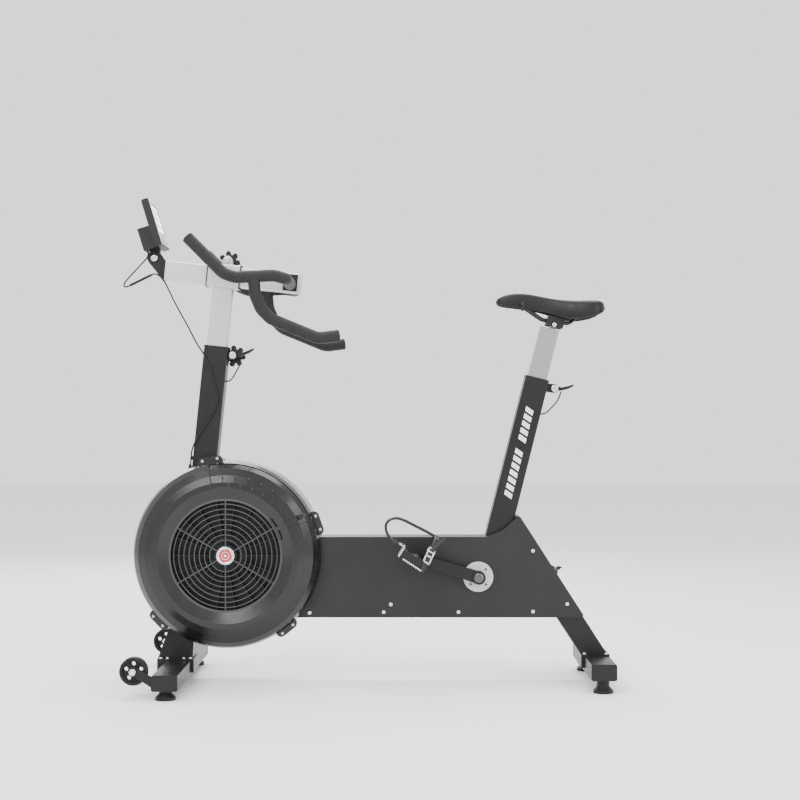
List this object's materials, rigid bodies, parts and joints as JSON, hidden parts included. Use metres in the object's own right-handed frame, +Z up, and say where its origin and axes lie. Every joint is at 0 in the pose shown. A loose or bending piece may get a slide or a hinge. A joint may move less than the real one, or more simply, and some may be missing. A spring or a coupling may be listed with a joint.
{
  "type": "exercise bike",
  "caption": "Upright stationary bike with an air-resistance fan, belt drive, racing handlebar with drops, tilting monitor, sliding seat post and toe-clip pedals on two stabilizer beams.",
  "frame": {"origin": "on the floor under the middle of the bike's overall length and width", "axes": "+Z up, -X towards the fan and monitor, the rider faces -X, -Y is the rider's left side with the fan grille"},
  "size_m": [1.2553, 0.61, 1.2458],
  "materials": {
    "powder_coat": "satin powder coat",
    "cover_plastic": "fine-grained satin plastic",
    "end_plastic": "satin plastic",
    "bearing_cover": "light grey satin",
    "fan_plastic": "glossy moulded plastic",
    "grille_wire": "satin black wire",
    "fan_metal": "dull pressed sheet",
    "shaft_steel": "turned steel",
    "belt_rubber": "ribbed rubber",
    "crank_paint": "semi-gloss black",
    "pedal_resin": "moulded resin",
    "cage_steel": "bright plate",
    "clip_plastic": "flexible black strap",
    "silver_tube": "satin silver",
    "rail_steel": "black steel rod",
    "saddle_cover": "fine-grained synthetic leather",
    "grip_rubber": "matte rubber dip",
    "knob_plastic": "glossy moulded plastic",
    "monitor_plastic": "fine-grained plastic",
    "button_plastic": "soft-touch key",
    "wheel_rubber": "moulded tread",
    "foot_rubber": "moulded rubber",
    "spring_wire": "dark spring wire",
    "lead_jacket": "smooth cable jacket"
  },
  "bodies": {
    "frame": {"front_beam": "powder_coat", "rear_beam": "powder_coat", "end_caps": "end_plastic", "front_leg": "powder_coat", "rear_leg": "powder_coat", "drive_frame": "powder_coat", "left_cover": "cover_plastic", "right_cover": "cover_plastic", "bearing_covers": "bearing_cover", "seat_tube": "powder_coat", "front_post": "powder_coat", "tube_bushings": "end_plastic", "fan_drum": "fan_plastic", "fan_cover": "fan_plastic", "fan_grille": "grille_wire", "drive_belts": "belt_rubber", "seat_latch_spring": "spring_wire", "post_latch_spring": "spring_wire", "lower_lead": "lead_jacket"},
    "crank": {"crank_axle": "shaft_steel", "left_crank_arm": "crank_paint", "right_crank_arm": "crank_paint"},
    "left_pedal": {"left_pedal_body": "pedal_resin", "left_pedal_cage": "cage_steel", "left_toe_clip": "clip_plastic"},
    "right_pedal": {"right_pedal_body": "pedal_resin", "right_pedal_cage": "cage_steel", "right_toe_clip": "clip_plastic"},
    "jackshaft": {"jackshaft": "shaft_steel"},
    "flywheel": {"fan_wheel": "fan_metal", "fan_shaft": "shaft_steel"},
    "seat_post": {"seat_post": "silver_tube"},
    "saddle": {"saddle_pad": "saddle_cover", "saddle_rails": "rail_steel", "saddle_clamp": "end_plastic"},
    "seat_lever": {"seat_lever": "knob_plastic"},
    "handlebar_post": {"handlebar_post": "silver_tube", "sleeve_bushings": "end_plastic"},
    "post_lever": {"post_lever": "knob_plastic"},
    "post_knob": {"post_knob": "knob_plastic"},
    "reach_knob": {"reach_knob": "knob_plastic"},
    "beam": {"beam_tube": "silver_tube", "bar_clamp": "end_plastic", "handlebar": "grip_rubber", "left_drop": "grip_rubber", "right_drop": "grip_rubber", "monitor_bracket": "end_plastic", "sensor_pigtail": "lead_jacket", "lead_connector": "lead_jacket", "upper_lead": "lead_jacket"},
    "monitor": {"monitor_case": "monitor_plastic"},
    "left_button": {"left_button": "button_plastic"},
    "right_button": {"right_button": "button_plastic"},
    "damper": {"damper_lever": "fan_plastic"},
    "left_wheel": {"left_wheel": "wheel_rubber"},
    "right_wheel": {"right_wheel": "wheel_rubber"},
    "front_left_foot": {"front_left_foot": "foot_rubber"},
    "front_right_foot": {"front_right_foot": "foot_rubber"},
    "rear_left_foot": {"rear_left_foot": "foot_rubber"},
    "rear_right_foot": {"rear_right_foot": "foot_rubber"}
  },
  "joints": [
    {"name": "crank_spin", "type": "hinge", "parent": "frame", "child": "crank", "pos_m": [0.2725, 0, 0.276], "axis": [0, 1, 0], "continuous": true},
    {"name": "left_pedal_spin", "type": "hinge", "parent": "crank", "child": "left_pedal", "pos_m": [0.11037, -0.134, 0.32712], "axis": [0, 1, 0], "continuous": true},
    {"name": "right_pedal_spin", "type": "hinge", "parent": "crank", "child": "right_pedal", "pos_m": [0.43463, 0.134, 0.22488], "axis": [0, 1, 0], "continuous": true},
    {"name": "jackshaft_spin", "type": "hinge", "parent": "frame", "child": "jackshaft", "pos_m": [-0.06, 0, 0.29], "axis": [0, 1, 0], "continuous": true},
    {"name": "flywheel_spin", "type": "hinge", "parent": "frame", "child": "flywheel", "pos_m": [-0.3705, 0, 0.3345], "axis": [0, 1, 0], "continuous": true},
    {"name": "seat_slide", "type": "slide", "parent": "frame", "child": "seat_post", "axis": [0.2436, 0, 0.9699], "range_m": [-0.12, 0.06]},
    {"name": "saddle_tilt", "type": "hinge", "parent": "seat_post", "child": "saddle", "pos_m": [0.46947, 0, 0.92442], "axis": [0, 1, 0], "range_deg": [-8, 8]},
    {"name": "seat_lever_pivot", "type": "hinge", "parent": "frame", "child": "seat_lever", "pos_m": [0.47145, 0, 0.7603], "axis": [0, 1, 0], "range_deg": [0, 20], "stiffness_Nm_per_rad": 0.6, "springref_deg": -8.59, "deforming": ["seat_latch_spring"]},
    {"name": "post_slide", "type": "slide", "parent": "frame", "child": "handlebar_post", "axis": [0.1011, 0, 0.9949], "range_m": [-0.12, 0.06], "deforming": ["lower_lead"]},
    {"name": "post_lever_pivot", "type": "hinge", "parent": "frame", "child": "post_lever", "pos_m": [-0.36141, 0, 0.84598], "axis": [0, 1, 0], "range_deg": [0, 20], "stiffness_Nm_per_rad": 0.6, "springref_deg": -8.59, "deforming": ["post_latch_spring"]},
    {"name": "post_knob_turn", "type": "hinge", "parent": "frame", "child": "post_knob", "pos_m": [-0.36141, 0.045, 0.84598], "axis": [0, 1, 0], "continuous": true},
    {"name": "reach_knob_turn", "type": "hinge", "parent": "handlebar_post", "child": "reach_knob", "pos_m": [-0.37498, 0.045, 1.09332], "axis": [0, 1, 0], "continuous": true},
    {"name": "reach_slide", "type": "slide", "parent": "handlebar_post", "child": "beam", "axis": [0.9949, 0, -0.1011], "range_m": [-0.06, 0.06], "deforming": ["upper_lead"]},
    {"name": "monitor_tilt", "type": "hinge", "parent": "beam", "child": "monitor", "pos_m": [-0.56401, 0, 1.09765], "axis": [0, 1, 0], "range_deg": [-30, 15], "deforming": ["sensor_pigtail"]},
    {"name": "left_button_press", "type": "slide", "parent": "monitor", "child": "left_button", "axis": [-0.9563, 0, -0.2924], "range_m": [0, 0.0012], "stiffness_N_per_m": 400, "springref_m": -0.0006},
    {"name": "right_button_press", "type": "slide", "parent": "monitor", "child": "right_button", "axis": [-0.9563, 0, -0.2924], "range_m": [0, 0.0012], "stiffness_N_per_m": 400, "springref_m": -0.0006},
    {"name": "damper_turn", "type": "hinge", "parent": "frame", "child": "damper", "pos_m": [-0.3705, -0.113, 0.3345], "axis": [0, -1, 0], "range_deg": [0, 63]},
    {"name": "left_wheel_spin", "type": "hinge", "parent": "frame", "child": "left_wheel", "pos_m": [-0.575, -0.27, 0.068], "axis": [0, 1, 0], "continuous": true},
    {"name": "right_wheel_spin", "type": "hinge", "parent": "frame", "child": "right_wheel", "pos_m": [-0.575, 0.27, 0.068], "axis": [0, 1, 0], "continuous": true},
    {"name": "front_left_foot_turn", "type": "hinge", "parent": "frame", "child": "front_left_foot", "pos_m": [-0.4965, -0.28, 0.012], "axis": [0, 0, 1], "continuous": true},
    {"name": "front_right_foot_turn", "type": "hinge", "parent": "frame", "child": "front_right_foot", "pos_m": [-0.4965, 0.28, 0.012], "axis": [0, 0, 1], "continuous": true},
    {"name": "rear_left_foot_turn", "type": "hinge", "parent": "frame", "child": "rear_left_foot", "pos_m": [0.5765, -0.18, 0.017], "axis": [0, 0, 1], "continuous": true},
    {"name": "rear_right_foot_turn", "type": "hinge", "parent": "frame", "child": "rear_right_foot", "pos_m": [0.5765, 0.18, 0.017], "axis": [0, 0, 1], "continuous": true}
  ],
  "couplings": [
    {"joint": "jackshaft_spin", "follows": "crank_spin", "ratio": 2.8333},
    {"joint": "flywheel_spin", "follows": "crank_spin", "ratio": 8.7179}
  ]
}
